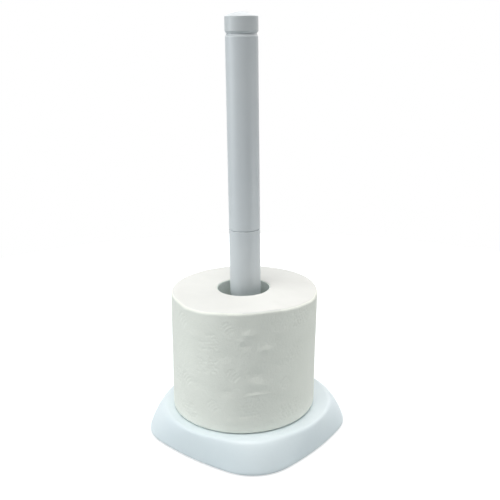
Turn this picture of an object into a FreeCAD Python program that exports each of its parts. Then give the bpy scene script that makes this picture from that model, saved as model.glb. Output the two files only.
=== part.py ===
import FreeCAD, Part
import math
import os

os.makedirs("parts", exist_ok=True)

Vector = FreeCAD.Vector
up = Vector(0, 0, 1)
centre = Vector(0, 0, 0)

# Base: a square foot with bowed sides and wide corners that rises to a round plateau
foot_width = 147.4
side_bow_radius = 236.0
corner_radius = 39.9
plateau_inset = 3.9
plateau_edge_width = 1.4
plateau_edge_height = 1.1
rim_round_width = 1.5
rim_round_height = 2.2
flank_bow = 0.75
base_height = 23.0
floor_gap = 1.0
shell_wall = 2.4
outline_points = 64
flank_sections = 6
edge_sections = 4
rim_sections = 3

# Moulded detail under the plateau
rib_count = 8
rib_thickness = 1.8
rib_lift = 4.0
socket_wall = 2.6
socket_floor_height = 8.0
socket_floor_thickness = 3.0
collar_height = 5.0
collar_rounding = 1.2
collar_root = 1.2

# Post: two tubes of one size, butted at mid height
pole_diameter = 25.0
pole_wall = 1.8
lower_reach = 150.4
upper_reach = 150.9
seam_chamfer = 0.3
seam_undercut = 0.8
socket_clearance = 0.1
spigot_clearance = 0.08
joiner_engagement = 28.0
joiner_wall = 2.1
flute_count = 6
flute_radius = 1.6
lead_in = 1.5

# Cap: a domed head on a fluted plug
cap_overhang = 0.2
cap_side_height = 12.1
cap_dome_rise = 3.4
cap_edge_rounding = 0.6
cap_chamfer_height = 1.6
cap_chamfer_depth = 0.9
cap_roof = 2.2
cap_plug_length = 15.0
cap_plug_wall = 1.8
neck_chamfer_height = 2.4
neck_chamfer_depth = 1.0

# Fixing of the post: a plug in the tube, pulled down by one screw and washer
plug_length = 20.0
plug_floor = 3.0
plug_skirt = 1.7
plug_hub_radius = 4.2
plug_web = 1.6
screw_radius = 1.9
screw_length = 17.0
screw_point = 3.0
screw_head_radius = 3.9
screw_head_height = 2.4
screw_crown_radius = 2.7
screw_skirt_height = 1.2
screw_tip_radius = 0.4
screw_slot_width = 1.1
screw_slot_length = 4.6
screw_slot_depth = 1.4
thread_clearance = 0.04
hole_clearance = 0.35
washer_radius = 6.0
washer_thickness = 0.9

# Push-in rubber feet on the diagonals
foot_corner_inset = 17.8
foot_head_radius = 7.0
foot_head_height = 2.4
foot_edge = 0.9
foot_stem_radius = 3.5
foot_stem_length = 8.0
foot_stem_chamfer = 0.8
foot_boss_wall = 2.0
foot_hole_spare = 1.0
foot_clearance = 0.05

# Paper roll standing loose on the plateau, a little off the post's axis
roll_radius = 59.9
roll_height = 101.7
roll_edge = 2.6
tail_thickness = 0.5
tail_angle = 150.0
core_bore_radius = 21.3
core_wall = 0.75
glue_gap = 0.05
roll_shift_x = 0.9
roll_shift_y = -3.8

same_level = 1e-4
plateau_radius = foot_width / 2 - plateau_inset
rim_level = floor_gap
seat_level = rim_level + base_height
seam_level = seat_level + lower_reach
neck_level = seam_level + upper_reach
pole_radius = pole_diameter / 2
pole_bore_radius = pole_radius - pole_wall
spigot_radius = pole_bore_radius - spigot_clearance
socket_radius = pole_radius + socket_clearance
boss_radius = socket_radius + socket_wall
boss_bottom = socket_floor_height - socket_floor_thickness
cap_radius = pole_radius + cap_overhang


def foot_reach(angle, inset):
    """Distance from the axis to the bowed square outline, in the given direction."""
    half = foot_width / 2 - inset
    bow = side_bow_radius - inset
    corner = corner_radius - inset
    back = half - bow
    spread = math.sqrt(2 * (bow - corner) ** 2 - back ** 2)
    corner_centre = (back + spread) / 2
    turn = math.atan2(corner_centre, corner_centre - back)
    join = math.atan2(bow * math.sin(turn), back + bow * math.cos(turn))
    folded = abs((angle + math.pi / 4) % (math.pi / 2) - math.pi / 4)
    if folded <= join:
        return back * math.cos(folded) + math.sqrt(bow ** 2 - (back * math.sin(folded)) ** 2)
    along = corner_centre * (math.cos(folded) + math.sin(folded))
    across = corner_centre * (math.cos(folded) - math.sin(folded))
    return along + math.sqrt(corner ** 2 - across ** 2)


def outline(blend, inset, level):
    """Closed outline between the foot (blend 0) and the round plateau (blend 1)."""
    points = []
    for step in range(outline_points):
        angle = 2 * math.pi * step / outline_points
        reach = (1 - blend) * foot_reach(angle, inset) + blend * (plateau_radius - inset)
        points.append(Vector(reach * math.cos(angle), reach * math.sin(angle), level))
    curve = Part.BSplineCurve()
    curve.interpolate(points, True)
    return Part.Wire(curve.toShape())


def flank_blend(share):
    """Blend at a given share of the flank's height; the flank bows outwards."""
    slope = 1 + flank_bow
    return (slope - math.sqrt(slope ** 2 - 4 * flank_bow * share)) / (2 * flank_bow)


def flank_loft(wall, top_level, rim_round):
    """Solid inside the bowed flank, with soft edges at plateau and rim, drawn in by a wall."""
    rise = top_level - rim_level
    stations = []
    straight = rise - plateau_edge_height
    for step in range(rim_sections):
        turn = math.pi / 2 * step / rim_sections
        height = rim_round_height * (1 - math.cos(turn))
        stations.append((height, rim_round * (1 - math.sin(turn))))
    for step in range(flank_sections):
        share = step / flank_sections
        stations.append((rim_round_height + (straight - rim_round_height) * share, 0.0))
    for step in range(edge_sections + 1):
        turn = math.pi / 2 * step / edge_sections
        height = straight + plateau_edge_height * math.sin(turn)
        stations.append((height, plateau_edge_width * (1 - math.cos(turn))))
    sections = []
    for height, draw_in in stations:
        sections.append(outline(flank_blend(height / rise), wall + draw_in, rim_level + height))
    return Part.makeLoft(sections, True, False)


def turned(profile):
    """Solid of revolution about the post's axis from (radius, height) corners."""
    points = [Vector(radius, 0, height) for radius, height in profile]
    face = Part.Face(Part.makePolygon(points + points[:1]))
    return face.revolve(centre, up, 360)


def cylinder(radius, bottom, top, x=0.0, y=0.0):
    return Part.makeCylinder(radius, top - bottom, Vector(x, y, bottom), up)


def edges_at(shape, level, least_radius):
    """Edges lying in one level plane, outside a given radius."""
    found = []
    for edge in shape.Edges:
        box = edge.BoundBox
        flat = abs(box.ZMin - level) < same_level and abs(box.ZMax - level) < same_level
        if flat and max(box.XMax, box.YMax) > least_radius:
            found.append(edge)
    return found


def foot_places():
    """Centres of the rubber feet, on the diagonals of the foot."""
    reach = (foot_reach(math.pi / 4, 0.0) - foot_corner_inset) / math.sqrt(2)
    return {
        "front_left": (-reach, -reach),
        "front_right": (reach, -reach),
        "rear_left": (-reach, reach),
        "rear_right": (reach, reach),
    }


def base_ribs():
    """Radial ribs from the socket to the flank, lifted clear of the rim."""
    ribs = []
    start = Vector(0, -rib_thickness / 2, rim_level + rib_lift)
    for index in range(rib_count):
        rib = Part.makeBox(foot_width, rib_thickness, base_height, start)
        rib.rotate(centre, up, 360.0 * index / rib_count)
        ribs.append(rib)
    return ribs


def base_bosses():
    """Posts left standing in the hollow: the pole socket and the four foot bosses."""
    bosses = [cylinder(boss_radius, boss_bottom, seat_level)]
    outer = foot_stem_radius + foot_clearance + foot_boss_wall
    for x, y in foot_places().values():
        bosses.append(cylinder(outer, foot_head_height, seat_level, x, y))
    return bosses


def base_collar():
    """Raised ring round the pole with a filleted root and a rounded top edge."""
    top = seat_level + collar_height
    ring = cylinder(boss_radius, seat_level - shell_wall, top)
    return ring.makeFillet(collar_rounding, edges_at(ring, top, boss_radius - 1))


def base_shell():
    body = flank_loft(0.0, seat_level, rim_round_width)
    body = body.fuse(base_collar())
    root = [edge for edge in edges_at(body, seat_level, boss_radius - 1)
            if edge.BoundBox.XMax < boss_radius + 1]
    body = body.makeFillet(collar_root, root)
    hollow = flank_loft(shell_wall, seat_level - shell_wall, 0.0)
    hollow = hollow.cut(base_ribs() + base_bosses())
    holes = [
        cylinder(socket_radius, socket_floor_height, neck_level),
        cylinder(screw_radius + hole_clearance, 0, seat_level),
    ]
    for x, y in foot_places().values():
        depth = foot_stem_length + foot_hole_spare
        radius = foot_stem_radius + foot_clearance
        holes.append(cylinder(radius, foot_head_height, foot_head_height + depth, x, y))
    return body.cut([hollow] + holes).removeSplitter()


def rubber_foot(x, y):
    edge = foot_edge
    top = foot_head_height + foot_stem_length
    stem = foot_stem_radius
    head = foot_head_radius
    foot = turned([
        (0, 0), (head - edge, 0), (head, edge), (head, foot_head_height),
        (stem, foot_head_height), (stem, top - foot_stem_chamfer),
        (stem - foot_stem_chamfer, top), (0, top),
    ])
    foot.translate(Vector(x, y, 0))
    return foot


def lower_pole():
    outer = pole_radius
    inner = pole_bore_radius
    bottom = socket_floor_height
    cut = seam_chamfer
    return turned([
        (inner, bottom), (outer - cut, bottom), (outer, bottom + cut),
        (outer, seam_level - cut), (outer - cut, seam_level), (inner, seam_level),
    ])


def upper_pole():
    outer = pole_radius
    inner = pole_bore_radius
    cut = seam_undercut
    return turned([
        (inner, seam_level), (outer - cut, seam_level), (outer, seam_level + cut),
        (outer, neck_level - neck_chamfer_height),
        (outer - neck_chamfer_depth, neck_level), (inner, neck_level),
    ])


def flutes(radius, bottom, top):
    """Rounded lengthwise grooves that let air past a push fit."""
    cutters = []
    for index in range(flute_count):
        angle = 2 * math.pi * (index + 0.5) / flute_count
        x = (radius + flute_radius / 2) * math.cos(angle)
        y = (radius + flute_radius / 2) * math.sin(angle)
        cutters.append(cylinder(flute_radius, bottom, top, x, y))
    return cutters


def pole_joiner():
    """Hollow fluted spigot, half in the lower tube and half standing out of it."""
    bottom = seam_level - joiner_engagement
    top = seam_level + joiner_engagement
    outer = spigot_radius
    inner = spigot_radius - joiner_wall
    body = turned([
        (inner, bottom), (outer - lead_in, bottom), (outer, bottom + lead_in),
        (outer, top - lead_in), (outer - lead_in, top), (inner, top),
    ])
    return body.cut(flutes(outer, bottom, top))


def arc_between(first, last, middle, radius):
    """Arc from first to last in the profile plane, about a given centre."""
    half_way = (first - middle) + (last - middle)
    through = middle + half_way * (radius / half_way.Length)
    return Part.Arc(first, through, last).toShape()


def top_cap():
    """Domed head with a chamfered lower edge on a hollow fluted plug."""
    side_top = neck_level + cap_side_height
    crown = side_top + cap_dome_rise
    sphere = (cap_radius ** 2 + cap_dome_rise ** 2) / (2 * cap_dome_rise)
    sphere_centre = Vector(0, 0, crown - sphere)
    edge_out = cap_radius - cap_edge_rounding
    lift = math.sqrt((sphere - cap_edge_rounding) ** 2 - edge_out ** 2)
    edge_centre = Vector(edge_out, 0, sphere_centre.z + lift)
    towards = edge_centre - sphere_centre
    dome_end = sphere_centre + towards * (sphere / towards.Length)
    side_end = Vector(cap_radius, 0, edge_centre.z)
    crown_point = Vector(0, 0, crown)
    dome = arc_between(crown_point, dome_end, sphere_centre, sphere)
    edge = arc_between(dome_end, side_end, edge_centre, cap_edge_rounding)
    plug_bottom = neck_level - cap_plug_length
    plug_inner = spigot_radius - cap_plug_wall
    ceiling = side_top - cap_roof
    corners = [
        (cap_radius, side_end.z), (cap_radius, neck_level + cap_chamfer_height),
        (cap_radius - cap_chamfer_depth, neck_level), (spigot_radius, neck_level),
        (spigot_radius, plug_bottom + lead_in), (spigot_radius - lead_in, plug_bottom),
        (plug_inner, plug_bottom), (plug_inner, ceiling), (0, ceiling), (0, crown),
    ]
    rest = Part.makePolygon([Vector(radius, 0, height) for radius, height in corners])
    profile = Part.Face(Part.Wire([dome, edge] + rest.Edges))
    head = profile.revolve(centre, up, 360)
    return head.cut(flutes(spigot_radius, plug_bottom, neck_level))


def pole_plug():
    """Cup-shaped plug with a screw hub held by four webs."""
    bottom = socket_floor_height
    top = bottom + plug_length
    body = cylinder(spigot_radius, bottom, top)
    pocket = cylinder(spigot_radius - plug_skirt, bottom + plug_floor, top)
    webs = [cylinder(plug_hub_radius, bottom, top)]
    for turn in (0, 90):
        web = Part.makeBox(
            2 * pole_radius, plug_web, plug_length,
            Vector(-pole_radius, -plug_web / 2, bottom),
        )
        web.rotate(centre, up, turn)
        webs.append(web)
    pilot = cylinder(screw_radius + thread_clearance, bottom, top)
    return body.cut([pocket.cut(webs), pilot])


def screw_washer():
    top = boss_bottom
    ring = cylinder(washer_radius, top - washer_thickness, top)
    return ring.cut(cylinder(screw_radius + hole_clearance, 0, top))


def fixing_screw():
    """Pan-head screw driven up from below, with a cross recess in its head."""
    seat = boss_bottom - washer_thickness
    head = seat - screw_head_height
    tip = seat + screw_length
    body = turned([
        (0, head), (screw_crown_radius, head), (screw_head_radius, seat - screw_skirt_height),
        (screw_head_radius, seat), (screw_radius, seat), (screw_radius, tip - screw_point),
        (screw_tip_radius, tip), (0, tip),
    ])
    for turn in (0, 90):
        slot = Part.makeBox(
            screw_slot_length, screw_slot_width, screw_slot_depth,
            Vector(-screw_slot_length / 2, -screw_slot_width / 2, head),
        )
        slot.rotate(centre, up, turn)
        body = body.cut(slot)
    return body


def roll_core():
    outer = core_bore_radius + core_wall
    tube = cylinder(outer, seat_level, seat_level + roll_height)
    tube = tube.cut(cylinder(core_bore_radius, seat_level, seat_level + roll_height))
    tube.translate(Vector(roll_shift_x, roll_shift_y, 0))
    return tube


def roll_outline():
    """Spiral outline of two half circles that ends in the step of the sheet's tail."""
    start = Vector(roll_radius - tail_thickness, 0, 0)
    far = Vector(-start.x, 0, 0)
    end = Vector(roll_radius, 0, 0)
    second = roll_radius - tail_thickness / 2
    first = Part.Arc(start, Vector(0, start.x, 0), far).toShape()
    back = Part.Arc(far, Vector(tail_thickness / 2, -second, 0), end).toShape()
    return Part.Wire([first, back, Part.makeLine(end, start)])


def roll_paper():
    """Wound paper with soft outer edges and the lapped tail of the last sheet."""
    winding = Part.Face(roll_outline()).extrude(Vector(0, 0, roll_height))
    envelope = cylinder(roll_radius + tail_thickness, 0, roll_height)
    rims = edges_at(envelope, 0, roll_radius) + edges_at(envelope, roll_height, roll_radius)
    envelope = envelope.makeFillet(roll_edge, rims)
    bore = cylinder(core_bore_radius + core_wall + glue_gap, 0, roll_height)
    paper = winding.common(envelope).cut(bore)
    paper.rotate(centre, up, tail_angle)
    paper.translate(Vector(roll_shift_x, roll_shift_y, seat_level))
    return paper


pieces = {
    "base_shell": base_shell(),
    "lower_pole": lower_pole(),
    "pole_joiner": pole_joiner(),
    "pole_plug": pole_plug(),
    "fixing_screw": fixing_screw(),
    "screw_washer": screw_washer(),
    "upper_pole": upper_pole(),
    "top_cap": top_cap(),
    "roll_core": roll_core(),
    "roll_paper": roll_paper(),
}
for corner, (x, y) in foot_places().items():
    pieces["foot_" + corner] = rubber_foot(x, y)

for name, shape in pieces.items():
    shape.exportStep("parts/" + name + ".step")
    print(name, "valid", shape.isValid(), "solids", len(shape.Solids), "volume", round(shape.Volume, 1))
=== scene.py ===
import bpy
import bmesh
import math
import random
from mathutils import Matrix, Vector, noise


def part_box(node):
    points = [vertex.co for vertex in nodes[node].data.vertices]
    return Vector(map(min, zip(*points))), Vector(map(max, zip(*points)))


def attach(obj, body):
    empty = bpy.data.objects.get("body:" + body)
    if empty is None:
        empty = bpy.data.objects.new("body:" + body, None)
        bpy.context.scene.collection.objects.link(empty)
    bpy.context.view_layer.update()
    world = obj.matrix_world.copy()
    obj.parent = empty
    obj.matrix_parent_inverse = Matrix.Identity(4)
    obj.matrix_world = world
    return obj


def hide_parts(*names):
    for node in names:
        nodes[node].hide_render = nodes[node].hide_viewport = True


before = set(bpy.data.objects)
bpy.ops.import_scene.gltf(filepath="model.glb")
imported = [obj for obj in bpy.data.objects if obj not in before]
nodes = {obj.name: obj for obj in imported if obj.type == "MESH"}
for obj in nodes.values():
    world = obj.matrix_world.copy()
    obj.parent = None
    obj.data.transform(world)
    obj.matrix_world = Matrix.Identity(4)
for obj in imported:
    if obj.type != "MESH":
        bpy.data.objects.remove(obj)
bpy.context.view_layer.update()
scene = bpy.context.scene
scene.view_settings.view_transform = "Standard"
print("frame loaded", sorted(nodes))

# camera, set first because the lights and the roll's marks are placed from its side
cameraSpec = {
    "azimuth": 39.42,      # degrees round the post, 0 looks along +Y
    "distance": 0.5754,    # level distance from the post's axis
    "height": 0.3276,
    "pitch": 16.58,        # looking down
    "pan": 0.41,           # turned a touch to the right
    "tilt": -0.78,         # roll about the view axis
    "lens": 53.28,
    "sensor": 36.0,
    "clipStart": 0.01,
}


def makeCamera(spec):
    data = bpy.data.cameras.new("studioCamera")
    data.lens = spec["lens"]
    data.sensor_width = spec["sensor"]
    data.clip_start = spec["clipStart"]
    camera = bpy.data.objects.new("studioCamera", data)
    scene.collection.objects.link(camera)
    around = math.radians(spec["azimuth"])
    turn = Matrix.Rotation(around - math.radians(spec["pan"]), 3, "Z")
    nod = Matrix.Rotation(math.radians(90.0 - spec["pitch"]), 3, "X")
    lean = Matrix.Rotation(math.radians(spec["tilt"]), 3, "Z")
    camera.rotation_euler = (turn @ nod @ lean).to_euler()
    reach = spec["distance"]
    camera.location = (reach * math.sin(around), -reach * math.cos(around), spec["height"])
    scene.camera = camera


def fromCamera(right, near, high):
    around = math.radians(cameraSpec["azimuth"])
    side = Vector((math.cos(around), math.sin(around), 0))
    towards = Vector((math.sin(around), -math.cos(around), 0))
    return side * right + towards * near + Vector((0, 0, high))


makeCamera(cameraSpec)
print("camera set")

# small helpers for shader trees


def emptyTree(owner, outputKind):
    owner.use_nodes = True
    tree = owner.node_tree
    tree.nodes.clear()
    return tree, tree.nodes.new(outputKind)


def newMaterial(name):
    material = bpy.data.materials.new(name)
    tree, output = emptyTree(material, "ShaderNodeOutputMaterial")
    shader = tree.nodes.new("ShaderNodeBsdfPrincipled")
    tree.links.new(shader.outputs["BSDF"], output.inputs["Surface"])
    return material, tree, shader


def setSockets(node, values):
    for socket, value in values.items():
        node.inputs[socket].default_value = value


def mathNode(tree, operation, first, second=None):
    node = tree.nodes.new("ShaderNodeMath")
    node.operation = operation
    for index, value in enumerate((first, second)):
        if value is None:
            continue
        if isinstance(value, (int, float)):
            node.inputs[index].default_value = value
        else:
            tree.links.new(value, node.inputs[index])
    return node.outputs[0]


def objectPlace(tree, offset=(0, 0, 0), scale=(1, 1, 1)):
    coords = tree.nodes.new("ShaderNodeTexCoord")
    mapping = tree.nodes.new("ShaderNodeMapping")
    setSockets(mapping, {"Location": offset, "Scale": scale})
    tree.links.new(coords.outputs["Object"], mapping.inputs["Vector"])
    return mapping.outputs["Vector"]


def partsOf(tree, vector):
    split = tree.nodes.new("ShaderNodeSeparateXYZ")
    tree.links.new(vector, split.inputs["Vector"])
    return split.outputs


def noiseOf(tree, vector, scale, detail, rough=0.55):
    node = tree.nodes.new("ShaderNodeTexNoise")
    setSockets(node, {"Scale": scale, "Detail": detail, "Roughness": rough})
    tree.links.new(vector, node.inputs["Vector"])
    return node.outputs["Fac"]


def rangeOf(tree, value, low, high, start=0.0, end=1.0):
    node = tree.nodes.new("ShaderNodeMapRange")
    setSockets(node, {"From Min": start, "From Max": end, "To Min": low, "To Max": high})
    tree.links.new(value, node.inputs["Value"])
    return node.outputs["Result"]


def paintBy(tree, shader, value, spread, tones):
    node = tree.nodes.new("ShaderNodeValToRGB")
    for element, place, tone in zip(node.color_ramp.elements, spread, tones):
        element.position = place
        element.color = (*tone, 1)
    tree.links.new(value, node.inputs["Fac"])
    tree.links.new(node.outputs["Color"], shader.inputs["Base Color"])


def roughBy(tree, shader, value, span):
    tree.links.new(rangeOf(tree, value, *span), shader.inputs["Roughness"])


def bumpOf(tree, shader, layers):
    last = None
    for height, (strength, distance) in layers:
        node = tree.nodes.new("ShaderNodeBump")
        setSockets(node, {"Strength": strength, "Distance": distance})
        tree.links.new(height, node.inputs["Height"])
        if last:
            tree.links.new(last, node.inputs["Normal"])
        last = node.outputs["Normal"]
    tree.links.new(last, shader.inputs["Normal"])


# In the finishes below, tones are a darker and a lighter colour and spread is where along the noise they
# lie. A number without a note is a noise scale, larger is finer. A bump is its strength and height.

# moulded and drawn white plastic
plasticSpec = {
    "mouldTones": ((0.684, 0.764, 0.792), (0.717, 0.794, 0.815)),
    "tubeTones": ((0.622, 0.664, 0.683), (0.661, 0.701, 0.715)),
    "capTones": ((0.586, 0.624, 0.638), (0.622, 0.659, 0.668)),
    "spread": (0.3, 0.7),
    "roughness": (0.36, 0.46),
    "sockets": {"IOR": 1.49},
    "mouldCloud": 26.0,
    "tubeCloud": 30.0,
    "patch": 70.0,
    "swell": 210.0,
    "grain": 1900.0,
    "streak": 900.0,
    "streakSquash": 0.012,               # long faint lines down the tube
    "swellBump": (0.05, 0.0006),
    "mouldBump": (0.12, 0.00012),
    "streakBump": (0.10, 0.0002),
    "tubeBump": (0.10, 0.0001),
}


def mouldedPlastic(name, tones):
    spec = plasticSpec
    material, tree, shader = newMaterial(name)
    place = objectPlace(tree)
    cloud = noiseOf(tree, place, spec["mouldCloud"], detail=5.0)
    paintBy(tree, shader, cloud, spec["spread"], tones)
    patch = noiseOf(tree, place, spec["patch"], detail=3.0)
    roughBy(tree, shader, patch, spec["roughness"])
    swell = noiseOf(tree, place, spec["swell"], detail=2.0)
    grain = noiseOf(tree, place, spec["grain"], detail=2.0)
    bumpOf(tree, shader, [(swell, spec["swellBump"]), (grain, spec["mouldBump"])])
    setSockets(shader, spec["sockets"])
    return material


def drawnPlastic(name, tones):
    spec = plasticSpec
    material, tree, shader = newMaterial(name)
    place = objectPlace(tree)
    drawn = objectPlace(tree, scale=(1, 1, spec["streakSquash"]))
    cloud = noiseOf(tree, place, spec["tubeCloud"], detail=5.0)
    paintBy(tree, shader, cloud, spec["spread"], tones)
    streak = noiseOf(tree, drawn, spec["streak"], detail=3.0)
    roughBy(tree, shader, streak, spec["roughness"])
    grain = noiseOf(tree, place, spec["grain"], detail=2.0)
    bumpOf(tree, shader, [(streak, spec["streakBump"]), (grain, spec["tubeBump"])])
    setSockets(shader, spec["sockets"])
    return material


# plain paper board, wound with a spiral seam
boardSpec = {
    "tones": ((0.70, 0.76, 0.715), (0.82, 0.88, 0.83)),
    "spread": (0.25, 0.75),
    "sockets": {"Roughness": 0.9},
    "pitch": 0.052,                      # metres that the wrap climbs in a turn
    "seam": 0.05,                        # share of the pitch
    "seamShade": 0.22,                   # taken off the noise at the seam
    "fibre": 420.0,
    "fleck": 1700.0,
    "wrapBump": (0.25, 0.0003),
    "fleckBump": (0.25, 0.0002),
}


def spiralBoard(name, centre):
    spec = boardSpec
    material, tree, shader = newMaterial(name)
    place = objectPlace(tree, offset=(-centre.x, -centre.y, 0))
    parts = partsOf(tree, place)
    angle = mathNode(tree, "ARCTAN2", parts["Y"], parts["X"])
    turns = mathNode(tree, "DIVIDE", angle, 2 * math.pi)
    climb = mathNode(tree, "DIVIDE", parts["Z"], spec["pitch"])
    wrap = mathNode(tree, "FRACT", mathNode(tree, "ADD", climb, turns))
    seam = mathNode(tree, "LESS_THAN", wrap, spec["seam"])
    shade = mathNode(tree, "MULTIPLY", seam, spec["seamShade"])
    fibre = noiseOf(tree, place, spec["fibre"], detail=6.0, rough=0.7)
    fleck = noiseOf(tree, place, spec["fleck"], detail=3.0)
    blend = mathNode(tree, "SUBTRACT", fibre, shade)
    paintBy(tree, shader, blend, spec["spread"], spec["tones"])
    bumpOf(tree, shader, [(wrap, spec["wrapBump"]), (fleck, spec["fleckBump"])])
    setSockets(shader, spec["sockets"])
    return material


# tissue, creped on its side and cut in thin layers at its ends, whose tones are darker than the side's:
# painted shade that keeps the lit top end from glaring under the overhead light
tissueSpec = {
    "sideTones": ((0.880, 0.901, 0.823), (0.920, 0.941, 0.862)),
    # painted shade: the same tissue as the side, made darker at the ends to hold the lit top down
    "shadedEndTones": ((0.715, 0.724, 0.691), (0.746, 0.751, 0.721)),
    "spread": (0.25, 0.75),
    "sideSockets": {
        "Roughness": 0.95, "Specular IOR Level": 0.2, "Sheen Weight": 0.12, "Sheen Roughness": 0.6,
    },
    "endSockets": {"Roughness": 0.97, "Specular IOR Level": 0.15},
    "sideCloud": 48.0,
    "endCloud": 60.0,
    "mottle": 380.0,
    "crepe": 2200.0,
    "crepeSquash": 0.12,                 # the crepe runs up the sheet
    "fibre": 4200.0,
    "layers": 7200.0,                    # radians of wave in a metre of radius
    "drift": 55.0,
    "driftReach": 0.0012,                # metres that the layers wander
    "ragged": 900.0,
    "mottleBump": (0.3, 0.0011),
    "crepeBump": (0.3, 0.0004),
    "fibreBump": (0.2, 0.0001),
    "layerBump": (0.12, 0.00012),
    "raggedBump": (0.25, 0.0003),
}


def tissueSide(name, centre):
    spec = tissueSpec
    material, tree, shader = newMaterial(name)
    offset = (-centre.x, -centre.y, 0)
    place = objectPlace(tree, offset=offset)
    tall = objectPlace(tree, offset=offset, scale=(1, 1, spec["crepeSquash"]))
    cloud = noiseOf(tree, place, spec["sideCloud"], detail=6.0, rough=0.6)
    paintBy(tree, shader, cloud, spec["spread"], spec["sideTones"])
    mottle = noiseOf(tree, place, spec["mottle"], detail=4.0, rough=0.6)
    crepe = noiseOf(tree, tall, spec["crepe"], detail=3.0, rough=0.6)
    fibre = noiseOf(tree, place, spec["fibre"], detail=4.0, rough=0.65)
    layers = [(mottle, spec["mottleBump"]), (crepe, spec["crepeBump"]), (fibre, spec["fibreBump"])]
    bumpOf(tree, shader, layers)
    setSockets(shader, spec["sideSockets"])
    return material


def tissueEndsShaded(name, centre):
    spec = tissueSpec
    material, tree, shader = newMaterial(name)
    place = objectPlace(tree, offset=(-centre.x, -centre.y, 0))
    parts = partsOf(tree, place)
    squares = [mathNode(tree, "POWER", parts[axis], 2.0) for axis in "XY"]
    radius = mathNode(tree, "SQRT", mathNode(tree, "ADD", *squares))
    drift = noiseOf(tree, place, spec["drift"], detail=3.0)
    shifted = mathNode(tree, "ADD", radius, mathNode(tree, "MULTIPLY", drift, spec["driftReach"]))
    layer = mathNode(tree, "SINE", mathNode(tree, "MULTIPLY", shifted, spec["layers"]))
    ragged = noiseOf(tree, place, spec["ragged"], detail=5.0, rough=0.7)
    cloud = noiseOf(tree, place, spec["endCloud"], detail=5.0)
    # painted shade: the ends take the darker tones of the same tissue
    paintBy(tree, shader, cloud, spec["spread"], spec["shadedEndTones"])
    bumpOf(tree, shader, [(layer, spec["layerBump"]), (ragged, spec["raggedBump"])])
    setSockets(shader, spec["endSockets"])
    return material


# rubber of the feet, dusty and matt
rubberSpec = {
    "tones": ((0.055, 0.056, 0.06), (0.12, 0.12, 0.122)),
    "spread": (0.3, 0.8),
    "roughness": (0.7, 0.92),
    "dust": 140.0,
    "grain": 1300.0,
    "grainBump": (0.3, 0.0002),
}


def grippyRubber(name):
    spec = rubberSpec
    material, tree, shader = newMaterial(name)
    place = objectPlace(tree)
    dust = noiseOf(tree, place, spec["dust"], detail=6.0, rough=0.65)
    paintBy(tree, shader, dust, spec["spread"], spec["tones"])
    roughBy(tree, shader, dust, spec["roughness"])
    grain = noiseOf(tree, place, spec["grain"], detail=3.0)
    bumpOf(tree, shader, [(grain, spec["grainBump"])])
    return material


# plated steel of the screw and its washer
steelSpec = {
    "tones": ((0.52, 0.53, 0.55), (0.68, 0.68, 0.69)),
    "spread": (0.3, 0.7),
    "roughness": (0.26, 0.42),
    "sockets": {"Metallic": 1.0},
    "spangle": 300.0,
    "grain": 2400.0,
    "grainBump": (0.1, 0.0001),
}


def platedSteel(name):
    spec = steelSpec
    material, tree, shader = newMaterial(name)
    place = objectPlace(tree)
    spangle = noiseOf(tree, place, spec["spangle"], detail=4.0)
    paintBy(tree, shader, spangle, spec["spread"], spec["tones"])
    roughBy(tree, shader, spangle, spec["roughness"])
    grain = noiseOf(tree, place, spec["grain"], detail=2.0)
    bumpOf(tree, shader, [(grain, spec["grainBump"])])
    setSockets(shader, spec["sockets"])
    return material


rollLow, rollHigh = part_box("roll_paper")
coreLow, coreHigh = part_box("roll_core")
rollCentre = (coreLow + coreHigh) / 2

finishes = {
    "mould": mouldedPlastic("mouldedWhite", plasticSpec["mouldTones"]),
    "tube": drawnPlastic("drawnWhite", plasticSpec["tubeTones"]),
    "cap": mouldedPlastic("capWhite", plasticSpec["capTones"]),
    "board": spiralBoard("coreBoard", rollCentre),
    "side": tissueSide("tissueSide", rollCentre),
    "ends": tissueEndsShaded("tissueEndsShaded", rollCentre),
    "rubber": grippyRubber("footRubber"),
    "steel": platedSteel("platedSteel"),
}
wear = {                                 # the feet, not listed, wear rubber
    "base_shell": "mould", "top_cap": "cap", "lower_pole": "tube", "upper_pole": "tube",
    "pole_joiner": "mould", "pole_plug": "mould", "roll_core": "board", "roll_paper": "side",
    "fixing_screw": "steel", "screw_washer": "steel",
}
for nodeName, node in nodes.items():
    finish = finishes[wear.get(nodeName, "rubber")]
    node.data.materials.clear()
    node.data.materials.append(finish)
print("finishes on", len(nodes), "solids")

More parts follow.
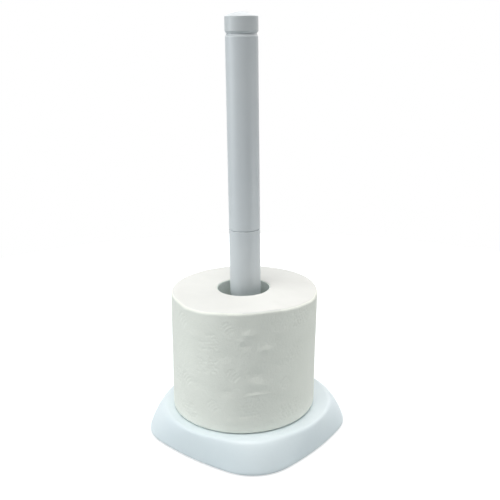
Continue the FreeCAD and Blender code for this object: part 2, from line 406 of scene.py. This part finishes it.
# the paper roll, embossed and a little out of true, in metres where nothing else is said
millimetres = 1000                       # in a metre
rollSpec = {
    "columns": 560,                      # steps round
    "sideRows": 134,
    "endRings": 10,
    "boreRows": 3,
    "longEdge": 0.01,                    # edges of the section over this length are divided
    "weld": 1e-6,
    "coreGap": 0.00005,                  # the bore is this much wider than the core
    "rimRound": 0.0022,
    "seatRound": 0.0034,                 # the lower edge is pressed rounder
    "roundSteps": 6,
    "tailAngle": 150.0,                  # degrees, where the last sheet ends
    "tailStep": 0.0005,                  # drop from the last sheet to the one under it
    "wobble": 0.0003,                    # slow unevenness of the winding
    "wobbleScale": (34, 34, 22),
    "seatShift": (-0.0014, -0.0007),     # outer turns at the seat, to the camera's right and nearer
    "topShift": (0.0007, 0.0008),
    "crown": 0.0004,                     # the top end is higher round the core
    "bottomLift": 0.0011,                # the seat stands off the base on one side
    "liftWay": (0.94, -0.34),            # that side, to the camera's right and nearer
    "endWave": 0.00035,
    "endWaveScale": 60,
    "endWaveSlice": 3.0,
    "endBand": (0.02, 0.96),             # share of the winding's depth that has the end's waves
    "endLevel": 0.999,                   # share of the height
    "endTilt": 0.8,                      # a face whose normal is this far up or down is an end
    "sharpAngle": 50.0,                  # degrees
    "skinStart": 0.93,                   # share of the winding's depth where marks begin, and their fade
    "skinFade": 0.05,
    "rimWave": [                         # height of the top rim, degrees right of the camera's side
        (-180, 0.0), (-110, 0.0), (-65, 0.0002), (-48, -0.0016), (-35, -0.0013), (-14, 0.0003),
        (20, 0.0012), (35, 0.0), (48, -0.0006), (65, -0.0015), (110, 0.0), (180, 0.0),
    ],
    "emboss": {
        "seed": 7,
        "depth": 0.00024,
        "width": 0.00090,
        "bow": 0.3,                      # keeps the middle of a bent stroke in its place
        "cell": 0.012,
        "frontSprigs": [                 # on the camera's side, millimetres right and up
            (-13, 89), (-9, 51), (-25, 23), (34, 40), (-52, 40), (-56, 90),
        ],
        "frontDabs": [
            (-29, 77), (-31, 57), (4, 22), (43, 64), (38, 15), (-50, 12), (48, 92),
        ],
        "frontHalf": 0.066,              # half width of the camera's side
        "columns": 14,                   # rows of marks on the rest of the girth
        "rows": 4,
        "stray": 0.12,                   # share of a row's pitch
    },
    "sprig": {                           # curved leaf strokes, side by side
        "leaves": 4,
        "pitch": 0.0027,
        "length": 0.0042,
        "taper": 0.0008,
        "longest": 1.3,                  # place of the longest leaf in the row
        "stray": 0.0004,
        "lean": (40, 52),                # degrees
        "twist": 0.08,
        "bend": (-70, -45),
    },
    "dabs": {                            # a scatter of short dabs
        "rows": 5,
        "columns": 6,
        "pitchAcross": 0.0028,
        "pitchUp": 0.0027,
        "stray": 0.0004,
        "kept": 0.8,                     # share of the dabs
        "slope": 0.15,
        "lean": (-0.2, 0.9),
        "length": (0.0, 0.0006),
    },
    "dentScale": 0.0007,                 # for dents and crease
    "dentReach": 9,                      # square of the half sizes past which a dent is flat
    "dents": [                           # millimetres right, up, half width, half height; depth, < 0 is out
        (2.6, 84.0, 4.4, 2.6, -0.85), (-1.8, 79.0, 3.6, 2.6, -0.45), (1.5, 75.0, 3.6, 2.4, 0.50),
        (17.0, 71.0, 4.6, 3.1, -0.95), (9.5, 74.0, 1.8, 6.5, 0.35), (10.0, 51.0, 5.0, 4.2, 0.85),
        (5.5, 44.0, 4.8, 3.2, -0.45), (15.0, 42.0, 6.0, 3.0, -0.45), (9.0, 37.2, 6.0, 2.2, 0.42),
        (-14.0, 36.0, 7.0, 3.2, 0.45), (-4.0, 54.0, 3.2, 2.6, -0.35), (26.0, 57.0, 7.0, 3.6, 0.40),
        (-18.0, 66.0, 8.0, 4.5, 0.40), (30.0, 82.0, 7.0, 3.6, -0.40), (-38.0, 38.0, 8.0, 3.6, 0.35),
        (32.0, 26.0, 8.0, 3.6, 0.40), (4.0, 17.0, 7.0, 3.2, 0.40), (-8.0, 11.0, 9.0, 2.8, -0.35),
        (22.0, 10.0, 8.0, 2.8, -0.35), (-42.0, 80.0, 7.0, 3.6, -0.35),
    ],
    "crease": {                          # millimetres, across the camera's side
        "from": -4.0,
        "to": 28.0,
        "level": 32.2,
        "slope": 0.10,
        "width": 1.0,
        "height": 0.42,
        "waver": 0.8,
        "waverTurn": 5,                  # radians along the crease
    },
}


def wrapped(value, whole):
    return (value + whole / 2) % whole - whole / 2


def tableAt(table, place):
    for (start, low), (end, high) in zip(table, table[1:]):
        if start <= place <= end:
            share = (place - start) / (end - start)
            return low + (high - low) * (3 - 2 * share) * share * share
    return 0.0


def strayBy(chance, reach):
    return chance.uniform(-reach, reach)


def sprigStrokes(chance, around, level):
    spec = rollSpec["sprig"]
    lean = math.radians(chance.uniform(*spec["lean"]))
    strokes = []
    for index in range(spec["leaves"]):
        shift = (index - (spec["leaves"] - 1) / 2) * spec["pitch"]
        taper = spec["taper"] * abs(index - spec["longest"])
        length = spec["length"] - taper + strayBy(chance, spec["stray"])
        middle = (around + shift * math.sin(lean), level - shift * math.cos(lean))
        twisted = lean + strayBy(chance, spec["twist"])
        strokes.append((middle, twisted, length, chance.uniform(*spec["bend"])))
    return strokes


def dabStrokes(chance, around, level):
    spec = rollSpec["dabs"]
    strokes = []
    for row in range(spec["rows"]):
        for column in range(spec["columns"]):
            across = (column - (spec["columns"] - 1) / 2 + 0.5 * (row % 2)) * spec["pitchAcross"]
            across += strayBy(chance, spec["stray"])
            upward = (row - (spec["rows"] - 1) / 2) * spec["pitchUp"]
            upward += strayBy(chance, spec["stray"])
            if chance.random() < spec["kept"]:
                spot = (around + across, level + upward + spec["slope"] * across)
                lean = chance.uniform(*spec["lean"])
                strokes.append((spot, lean, chance.uniform(*spec["length"]), 0.0))
    return strokes


def embossStrokes(spec, girth, facing, tall):
    chance = random.Random(spec["seed"])
    strokes = []
    for right, high in spec["frontSprigs"]:
        strokes += sprigStrokes(chance, facing + right / millimetres, high / millimetres)
    for right, high in spec["frontDabs"]:
        strokes += dabStrokes(chance, facing + right / millimetres, high / millimetres)
    pitchAround = girth / spec["columns"]
    pitchUp = tall / spec["rows"]
    for row in range(spec["rows"]):
        for column in range(spec["columns"]):
            around = (column + 0.5 * (row % 2) + strayBy(chance, spec["stray"])) * pitchAround
            level = (row + 0.5 + strayBy(chance, spec["stray"])) * pitchUp
            if abs(wrapped(around - facing, girth)) < spec["frontHalf"]:
                continue                 # the camera's side has its own marks
            make = sprigStrokes if (row + column) % 2 else dabStrokes
            strokes += make(chance, around, level)
    return strokes


def strokeCells(strokes, girth, size):
    cells = {}
    columns = int(girth / size) + 1
    for stroke in strokes:
        around, level = stroke[0]
        across = int((around % girth) / size)
        upward = int(level / size)
        for i in (-1, 0, 1):
            for j in (-1, 0, 1):
                cells.setdefault(((across + i) % columns, upward + j), []).append(stroke)
    return cells


def strokeDepth(spec, near, girth, around, level):
    depth = 0.0
    for (middle, height), lean, length, bend in near:
        dx = wrapped(around - middle, girth)
        dz = level - height
        along = dx * math.cos(lean) + dz * math.sin(lean)
        bow = bend * (along * along - length * length * spec["bow"])
        across = dz * math.cos(lean) - dx * math.sin(lean) - bow
        past = max(0.0, abs(along) - length)
        depth = max(depth, math.exp(-(across * across + past * past) / spec["width"] ** 2))
    return depth * spec["depth"]


def dentDepth(spec, around, level):
    total = 0.0
    for x, z, wide, tall, depth in spec["dents"]:
        away = ((around - x) / wide) ** 2 + ((level - z) / tall) ** 2
        if away < spec["dentReach"]:
            total += depth * math.exp(-away)
    crease = spec["crease"]
    along = around - crease["from"]
    share = along / (crease["to"] - crease["from"])
    if 0 < share < 1:
        waver = crease["waver"] * math.sin(share * crease["waverTurn"])
        offset = level - crease["level"] - crease["slope"] * along - waver
        ridge = math.exp(-(offset / crease["width"]) ** 2)
        total -= crease["height"] * math.sin(math.pi * share) * ridge
    return total * spec["dentScale"]


def sweepRoll(spec, inner, outer):
    low, high = rollLow.z, rollHigh.z
    mesh = bmesh.new()
    corners = [(inner, low), (outer, low), (outer, high), (inner, high)]
    ring = [mesh.verts.new((radius, 0, height)) for radius, height in corners]
    for pair in zip(ring, ring[1:] + ring[:1]):
        mesh.edges.new(pair)
    for corner, reach in ((ring[1], spec["seatRound"]), (ring[2], spec["rimRound"])):
        bmesh.ops.bevel(mesh, geom=[corner], offset=reach, offset_type="OFFSET", profile=0.5,
                        segments=spec["roundSteps"], affect="VERTICES", material=-1)
    longEdges = [edge for edge in mesh.edges if edge.calc_length() > spec["longEdge"]]
    upright = [edge for edge in longEdges if abs(edge.verts[0].co.x - edge.verts[1].co.x) < spec["weld"]]
    side = [edge for edge in upright if edge.verts[0].co.x > (inner + outer) / 2]
    bore = [edge for edge in upright if edge not in side]
    ends = [edge for edge in longEdges if edge not in upright]
    for edges, cuts in ((side, spec["sideRows"]), (ends, spec["endRings"]), (bore, spec["boreRows"])):
        bmesh.ops.subdivide_edges(mesh, edges=edges, cuts=cuts)
    bmesh.ops.spin(mesh, geom=mesh.verts[:] + mesh.edges[:], cent=(0, 0, 0), axis=(0, 0, 1),
                   angle=2 * math.pi, steps=spec["columns"], use_merge=True, use_duplicate=False)
    bmesh.ops.remove_doubles(mesh, verts=mesh.verts[:], dist=spec["weld"])
    bmesh.ops.recalc_face_normals(mesh, faces=mesh.faces[:])
    return mesh


def shapeRoll(mesh, spec, inner, outer):
    low, high = rollLow.z, rollHigh.z
    girth = 2 * math.pi * outer
    size = spec["emboss"]["cell"]
    facing = math.radians(cameraSpec["azimuth"] - 90.0)
    strokes = embossStrokes(spec["emboss"], girth, facing * outer, high - low)
    cells = strokeCells(strokes, girth, size)
    tail = math.radians(spec["tailAngle"])
    liftWay = fromCamera(*spec["liftWay"], 0)
    axisPlace = Vector((rollCentre.x, rollCentre.y, 0))
    bandStart, bandEnd = spec["endBand"]
    for vert in mesh.verts:
        x, y, z = vert.co
        radius = math.hypot(x, y)
        angle = math.atan2(y, x)
        fromFace = wrapped(angle - facing, 2 * math.pi)
        level = z - low
        upper = level / (high - low)
        depth = (radius - inner) / (outer - inner)
        turn = ((angle - tail) / (2 * math.pi)) % 1.0
        change = -spec["tailStep"] * (1.0 - turn) * depth
        wobblePlace = Vector([part * scale for part, scale in zip((x, y, z), spec["wobbleScale"])])
        change += spec["wobble"] * noise.noise(wobblePlace) * depth
        if depth > spec["skinStart"]:
            around = angle * outer
            near = cells.get((int((around % girth) / size), int(level / size)), ())
            pucker = strokeDepth(spec["emboss"], near, girth, around, level)
            pucker += dentDepth(spec, fromFace * outer * millimetres, level * millimetres)
            change -= pucker * min(1.0, (depth - spec["skinStart"]) / spec["skinFade"])
        stretch = (radius + change) / radius
        drift = [seat + (top - seat) * upper for seat, top in zip(spec["seatShift"], spec["topShift"])]
        sway = fromCamera(drift[0] * depth, drift[1] * depth, 0)
        toLift = (x * liftWay.x + y * liftWay.y) / outer
        rise = spec["bottomLift"] * max(0.0, toLift) ** 2 * (1.0 - upper) * depth
        rim = tableAt(spec["rimWave"], math.degrees(fromFace)) * depth ** 3
        rise += (rim + spec["crown"] * (1.0 - depth)) * upper ** 2
        if upper > spec["endLevel"] and bandStart < depth < bandEnd:
            scale = spec["endWaveScale"]
            wavePlace = Vector((x * scale, y * scale, spec["endWaveSlice"]))
            rise += spec["endWave"] * noise.noise(wavePlace)
        vert.co = Vector((x * stretch, y * stretch, z + rise)) + sway + axisPlace


def dressRoll(mesh, spec):
    data = bpy.data.meshes.new("paperRoll")
    mesh.to_mesh(data)
    mesh.free()
    data.materials.append(finishes["side"])
    data.materials.append(finishes["ends"])
    for face in data.polygons:
        face.use_smooth = True
        # faces turned up or down take the ends' tissue, with its painted shade
        face.material_index = 1 if abs(face.normal.z) > spec["endTilt"] else 0
    data.set_sharp_from_angle(angle=math.radians(spec["sharpAngle"]))
    piece = bpy.data.objects.new("paperRoll", data)
    scene.collection.objects.link(piece)
    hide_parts("roll_paper")
    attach(piece, "paper_roll")


def makeRoll(spec):
    outer = max(rollHigh.x - rollLow.x, rollHigh.y - rollLow.y) / 2
    inner = (coreHigh.x - coreLow.x) / 2 + spec["coreGap"]
    mesh = sweepRoll(spec, inner, outer)
    print("roll swept", len(mesh.verts), "points")
    shapeRoll(mesh, spec, inner, outer)
    dressRoll(mesh, spec)


makeRoll(rollSpec)
print("roll embossed")

# pale floor, white surround and soft lights
studioSpec = {
    "floorRadius": 0.62,          # a round table top, white surround beyond it
    "floorSides": 96,
    "floorColour": (0.40, 0.43, 0.44),
    "floorLift": (0.66, 1.0),     # seen by the camera only, near the stand and far off; lights nothing
    "floorFade": (0.16, 0.50),    # metres from the post where the lift starts to grow and is full
    "skyLevel": 0.56,
    "skyColour": (0.96, 1.00, 1.04),
    "skyRise": (0.25, 0.95),      # up component of the direction where the soft sky begins and is full
    "aimHeight": 0.15,            # the softboxes point here on the post
}
# softboxes, placed to the camera's right, nearer and up from the stand's foot, then size, power and tint
softboxes = {
    "keyTop": ((-0.11, 0.3, 1.5), 0.7, 13.2, (1.03, 1.00, 0.98)),
    "sideLeft": ((-1.3, 0.2, 0.45), 0.8, 8.4, (0.96, 1.00, 1.02)),
    "backRight": ((0.8, -0.8, 1.1), 1.8, 11.2, (1.04, 1.00, 1.00)),
    "lowRight": ((0.42, 0.1, 0.11), 0.2, 0.30, (0.98, 1.00, 0.98)),
    "lowFront": ((0.0, 0.5, 0.11), 0.2, 0.194, (0.96, 1.00, 1.04)),
}


def seenDirectly(tree):                  # by the camera, or in gloss or glass
    path = tree.nodes.new("ShaderNodeLightPath")
    seen = path.outputs["Is Camera Ray"]
    for kind in ("Is Glossy Ray", "Is Transmission Ray"):
        seen = mathNode(tree, "MAXIMUM", seen, path.outputs[kind])
    return seen


def makeFloor(spec):
    mesh = bmesh.new()
    bmesh.ops.create_circle(mesh, cap_ends=True, radius=spec["floorRadius"], segments=spec["floorSides"])
    data = bpy.data.meshes.new("studioFloor")
    mesh.to_mesh(data)
    mesh.free()
    floor = bpy.data.objects.new("studioFloor", data)
    scene.collection.objects.link(floor)
    material = bpy.data.materials.new("floorPale")
    tree, output = emptyTree(material, "ShaderNodeOutputMaterial")
    diffuse = tree.nodes.new("ShaderNodeBsdfDiffuse")
    setSockets(diffuse, {"Color": (*spec["floorColour"], 1)})
    glow = tree.nodes.new("ShaderNodeEmission")
    length = tree.nodes.new("ShaderNodeVectorMath")
    length.operation = "LENGTH"
    tree.links.new(objectPlace(tree), length.inputs[0])
    fade = rangeOf(tree, length.outputs["Value"], *spec["floorLift"], *spec["floorFade"])
    tree.links.new(mathNode(tree, "MULTIPLY", seenDirectly(tree), fade), glow.inputs["Strength"])
    both = tree.nodes.new("ShaderNodeAddShader")
    tree.links.new(diffuse.outputs["BSDF"], both.inputs[0])
    tree.links.new(glow.outputs["Emission"], both.inputs[1])
    tree.links.new(both.outputs["Shader"], output.inputs["Surface"])
    data.materials.append(material)


def makeSurround(spec):
    world = bpy.data.worlds.new("studioWorld")
    scene.world = world
    tree, output = emptyTree(world, "ShaderNodeOutputWorld")
    coords = tree.nodes.new("ShaderNodeTexCoord")
    parts = partsOf(tree, coords.outputs["Generated"])
    soft = tree.nodes.new("ShaderNodeBackground")
    setSockets(soft, {"Color": (*spec["skyColour"], 1)})
    rise = rangeOf(tree, parts["Z"], 0.0, spec["skyLevel"], *spec["skyRise"])
    tree.links.new(rise, soft.inputs["Strength"])
    white = tree.nodes.new("ShaderNodeBackground")
    setSockets(white, {"Color": (1, 1, 1, 1), "Strength": 1.0})
    mix = tree.nodes.new("ShaderNodeMixShader")
    tree.links.new(seenDirectly(tree), mix.inputs["Fac"])
    tree.links.new(soft.outputs["Background"], mix.inputs[1])
    tree.links.new(white.outputs["Background"], mix.inputs[2])
    tree.links.new(mix.outputs["Shader"], output.inputs["Surface"])


def makeSoftbox(name, place, size, power, colour):
    data = bpy.data.lights.new(name, "AREA")
    data.shape = "SQUARE"
    data.size = size
    data.energy = power
    data.color = colour
    lamp = bpy.data.objects.new(name, data)
    scene.collection.objects.link(lamp)
    lamp.location = fromCamera(*place)
    aim = Vector((0, 0, studioSpec["aimHeight"])) - lamp.location
    lamp.rotation_euler = aim.to_track_quat("-Z", "Y").to_euler()
    lamp.visible_camera = False


makeFloor(studioSpec)
makeSurround(studioSpec)
for boxName, (place, size, power, tint) in softboxes.items():
    makeSoftbox(boxName, place, size, power, tint)
print("studio lit")
